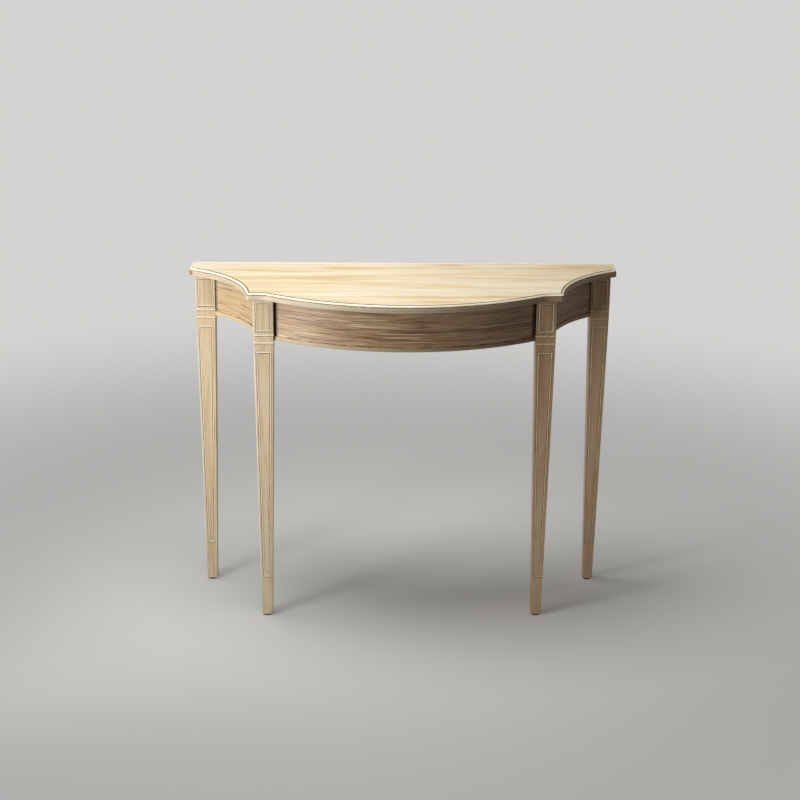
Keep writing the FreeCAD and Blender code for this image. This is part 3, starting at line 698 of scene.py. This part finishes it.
# %% Legs
LEG_GROUND = "#D8C5A3"
FOOT_SHADE_WASH, BLOCK_SHADE_WASH = "#FFF1EC", "#DDCBC0"
SHADE_WASH_START = 250 * MM
LEG_LAYERS = (
    ("#C4975C", 160, 34, 0.52, 0.72, 0.55),
    ("#C0A077", 240, 11, 0.46, 0.68, 0.75),
    ("#9C7853", 200, 5, 0.58, 0.76, 0.7),
    ("#E2D3B5", 160, 3, 0.56, 0.74, 0.6),
    ("#7A5A3E", 90, 1.8, 0.64, 0.78, 0.6),
)


def carve_leg(node_name):
    low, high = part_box(node_name)
    centre = Vector(((low[0] + high[0]) / 2, (low[1] + high[1]) / 2, 0.0))
    bm = grow_stick(centre, leg_steps(high[2]))
    outward = Vector((math.copysign(1.0, centre.x), 0.0, 0.0))
    for face in panel_faces(bm, (Vector((0.0, -1.0, 0.0)), outward)):
        on_block = face.calc_center_median().z > SHAFT_TOP
        line_panel(bm, face, (BLOCK_MARGIN if on_block else SHAFT_MARGIN) - ARRIS)
    return bm


# tan glaze gives soft honey patches and finer brown streaks that run up the leg
tan_leg = limed_wood("tan_glazed_leg_wood", "Z", LEG_GROUND, LEG_LAYERS, flecks=0.8)
shaded_brown_leg = limed_wood("brown_glazed_shaded_leg_wood", "Z", LEG_GROUND, LEG_LAYERS, flecks=0.8)
# painted shade, partly glaze: the brown wash on the right legs is heaviest at the block under the top
wash_glaze_and_shade(shaded_brown_leg, FOOT_SHADE_WASH, BLOCK_SHADE_WASH, "Z", SHADE_WASH_START, SHAFT_TOP)
for name in [name for name in nodes if name.startswith("leg_")]:
    woods = (shaded_brown_leg, shaded_tan_crown) if name.endswith("right") else (tan_leg, pale_crown)
    close_piece(carve_leg(name), name + "_carved", name, "leg_wood", *woods)

# %% [markdown]
# A cock bead is a thin strip along the lower edge of the front and side aprons, with a rounded face.
# It follows the curve of its apron, so the same helper carries a small round section along one turn.
# The front bead was glazed with its apron, so it is browner than the two at the sides.

# %% Cock beads
APRON_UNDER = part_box("cock_bead_front")[0][2]
COCK_BEAD_PROUD = 1.8 * MM
# (distance in from the face of the apron, height above the underside), in mm
COCK_BEAD_SECTION = (
    (0.0, 0.0), (-1.1, 0.1), (-1.6, 0.9), (-1.8, 2.4),
    (-1.8, 6.4), (-1.6, 7.8), (-1.1, 8.7), (0.0, 9.0),
)
# limed bead wood is a light straw colour, and glaze turns it to a greyer brown with broken streaks
bead_wood = limed_wood("limed_cock_bead_wood", "XY", "#D2BD97", (
    ("#C4A375", 200, 4, 0.45, 0.68, 0.75),
    ("#8A6543", 120, 3, 0.60, 0.75, 0.7),
), flecks=0.8)
brown_bead = limed_wood("brown_glazed_cock_bead_wood", "XY", "#BDA888", (
    ("#AD9069", 200, 4, 0.45, 0.68, 0.75),
    ("#7B5A3E", 120, 3, 0.58, 0.73, 0.75),
    ("#D9C9AB", 110, 3, 0.56, 0.70, 0.6),
), flecks=0.8)
# painted shade, partly glaze: a brown wash darkens the beads towards the right
wash_glaze_and_shade(bead_wood, CLEAR, RIGHT_SHADE_WASH, "X", *LONG_SHADE_SPAN)
wash_glaze_and_shade(brown_bead, CLEAR, RIGHT_SHADE_WASH, "X", *LONG_SHADE_SPAN)

low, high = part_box("cock_bead_front")
apron_rise = high[1] - low[1] - COCK_BEAD_PROUD
apron_bow = (high[0] ** 2 + apron_rise ** 2) / (2 * apron_rise)
apron_half = math.degrees(math.asin(high[0] / apron_bow))
print("front apron radius:", round(apron_bow / MM, 1), "mm, half turn:", round(apron_half, 2))
bead_section = [(inward * MM, APRON_UNDER + height * MM) for inward, height in COCK_BEAD_SECTION]
bead_finishes = [WOOD] * len(bead_section)
bead_path = (turn(apron_bow, 2 * apron_half),)
front_bead = carry(bead_section, bead_finishes, (-high[0], high[1]), math.radians(-apron_half), bead_path)
close_piece(front_bead, "cock_bead_front_rounded", "cock_bead_front", "apron_wood", brown_bead)
dress(["cock_bead_left", "cock_bead_right"], bead_wood)

# %% [markdown]
# The photograph was taken with a long lens from a little above the top, almost square to the front.
# The camera's place, turn and lens were worked out from the edges of the legs and the top in the picture.
# A camera looks along its own minus Z axis, so the three directions are set as the columns of its matrix.

# %% Camera
CAMERA_PLACE = Vector((-0.0863, -3.8842, 1.7979))
CAMERA_YAW, CAMERA_PITCH, CAMERA_ROLL = 0.02027, -0.32377, 0.00995
FOCAL_PIXELS, IMAGE_PIXELS = 1840.2, 800

level_forward = Vector((math.sin(CAMERA_YAW), math.cos(CAMERA_YAW), 0.0))
forward = math.cos(CAMERA_PITCH) * level_forward + Vector((0.0, 0.0, math.sin(CAMERA_PITCH)))
level_right = Vector((math.cos(CAMERA_YAW), -math.sin(CAMERA_YAW), 0.0))
level_up = level_right.cross(forward)
right = math.cos(CAMERA_ROLL) * level_right + math.sin(CAMERA_ROLL) * level_up
up = -math.sin(CAMERA_ROLL) * level_right + math.cos(CAMERA_ROLL) * level_up

lens = bpy.data.cameras.new("camera")
lens.sensor_width = 36.0
lens.sensor_fit = "HORIZONTAL"
lens.lens = FOCAL_PIXELS / IMAGE_PIXELS * lens.sensor_width
camera = bpy.data.objects.new("camera", lens)
camera.matrix_world = Matrix.Translation(CAMERA_PLACE) @ Matrix((right, up, -forward)).transposed().to_4x4()
bpy.context.scene.collection.objects.link(camera)
bpy.context.scene.camera = camera
print("lens:", round(lens.lens, 2), "mm")

# %% [markdown]
# The floor is a plain pale sheet of paper, wide enough to fill the picture.
# Far from the table it is seen at its own pale colour, so that the background stays plain without more light.
# Near the table it is lit mostly by the lamps, which keeps the shadows of the legs.

# %% Floor
PAPER = "#D4D3D1"
PAPER_HALF_WIDTH = 24.0
LIT_REACH, PLAIN_REACH = 0.5, 2.6
LEAST_PLAIN_SHARE = 0.2

floor_mesh = bpy.data.meshes.new("studio_floor")
bm = bmesh.new()
bmesh.ops.create_grid(bm, x_segments=1, y_segments=1, size=PAPER_HALF_WIDTH)
bm.to_mesh(floor_mesh)
bm.free()
floor = bpy.data.objects.new("studio_floor", floor_mesh)
bpy.context.scene.collection.objects.link(floor)

# uncoated paper is an even pale grey with no shine
paper, tree, shader = start_material("pale_studio_paper")
shader.inputs["Base Color"].default_value = linear(PAPER)
shader.inputs["Roughness"].default_value = 0.9
place = add(tree, "TexCoord").outputs["Object"]
reach = add(tree, "VectorMath", {"operation": "LENGTH"}, {0: place}).outputs["Value"]
values = {"Value": reach, "From Min": LIT_REACH, "From Max": PLAIN_REACH, "To Min": LEAST_PLAIN_SHARE}
far = add(tree, "MapRange", {"interpolation_type": "SMOOTHSTEP"}, values).outputs["Result"]
ray = add(tree, "LightPath").outputs
seen = add(tree, "Math", {"operation": "ADD"}, {0: ray["Is Camera Ray"], 1: ray["Is Glossy Ray"]}).outputs[0]
seen = add(tree, "Math", {"operation": "ADD"}, {0: seen, 1: ray["Is Transmission Ray"]}).outputs[0]
share = add(tree, "Math", {"operation": "MULTIPLY", "use_clamp": True}, {0: seen, 1: far}).outputs[0]
glow = add(tree, "Emission", inputs={"Color": linear(PAPER), "Strength": 1.0}).outputs["Emission"]
blend = add(tree, "MixShader", inputs={0: share, 1: shader.outputs["BSDF"], 2: glow})
tree.links.new(blend.outputs["Shader"], tree.nodes["Material Output"].inputs["Surface"])
floor_mesh.materials.append(paper)
print("floor:", 2 * PAPER_HALF_WIDTH, "m wide")

# %% [markdown]
# A tall soft lamp at the left, close and gridded, lights the left sides and fades to the right,
# as in the photograph. A lamp above and a little to the left lights the top.
# A weak warm one at the right and an even, slightly warm grey world keep the shade readable.

# %% Light
world = bpy.data.worlds.new("even_warm_grey")
bpy.context.scene.world = world
world.use_nodes = True
sky = world.node_tree.nodes["Background"]
sky.inputs["Color"].default_value = linear("#EAE2D8")
sky.inputs["Strength"].default_value = 0.07


def softbox(name, place, target, size, watts, spread, colour="#FFFFFF"):
    lamp = bpy.data.lights.new(name, "AREA")
    lamp.shape = "RECTANGLE"
    lamp.size, lamp.size_y = size
    lamp.energy = watts
    lamp.color = linear(colour)[:3]
    lamp.spread = math.radians(spread)
    holder = bpy.data.objects.new(name, lamp)
    aim = Vector(target) - Vector(place)
    holder.matrix_world = Matrix.Translation(place) @ aim.to_track_quat("-Z", "Y").to_matrix().to_4x4()
    holder.visible_camera = False
    bpy.context.scene.collection.objects.link(holder)
    print(name, watts, "W")


softbox("key_left", place=(-1.25, -0.85, 0.68), target=(-0.543, -0.143, 0.64),
        size=(0.36, 1.0), watts=3.4, spread=68)
softbox("overhead", place=(-0.42, -0.1, 2.4), target=(-0.15, 0.0, 0.75),
        size=(1.2, 1.2), watts=14.2, spread=100)
softbox("fill_right", place=(2.4, -2.6, 1.6), target=(0.0, 0.0, 0.45),
        size=(1.6, 1.6), watts=1.8, spread=180, colour="#FFD4A8")
bpy.context.scene.view_settings.view_transform = "Standard"
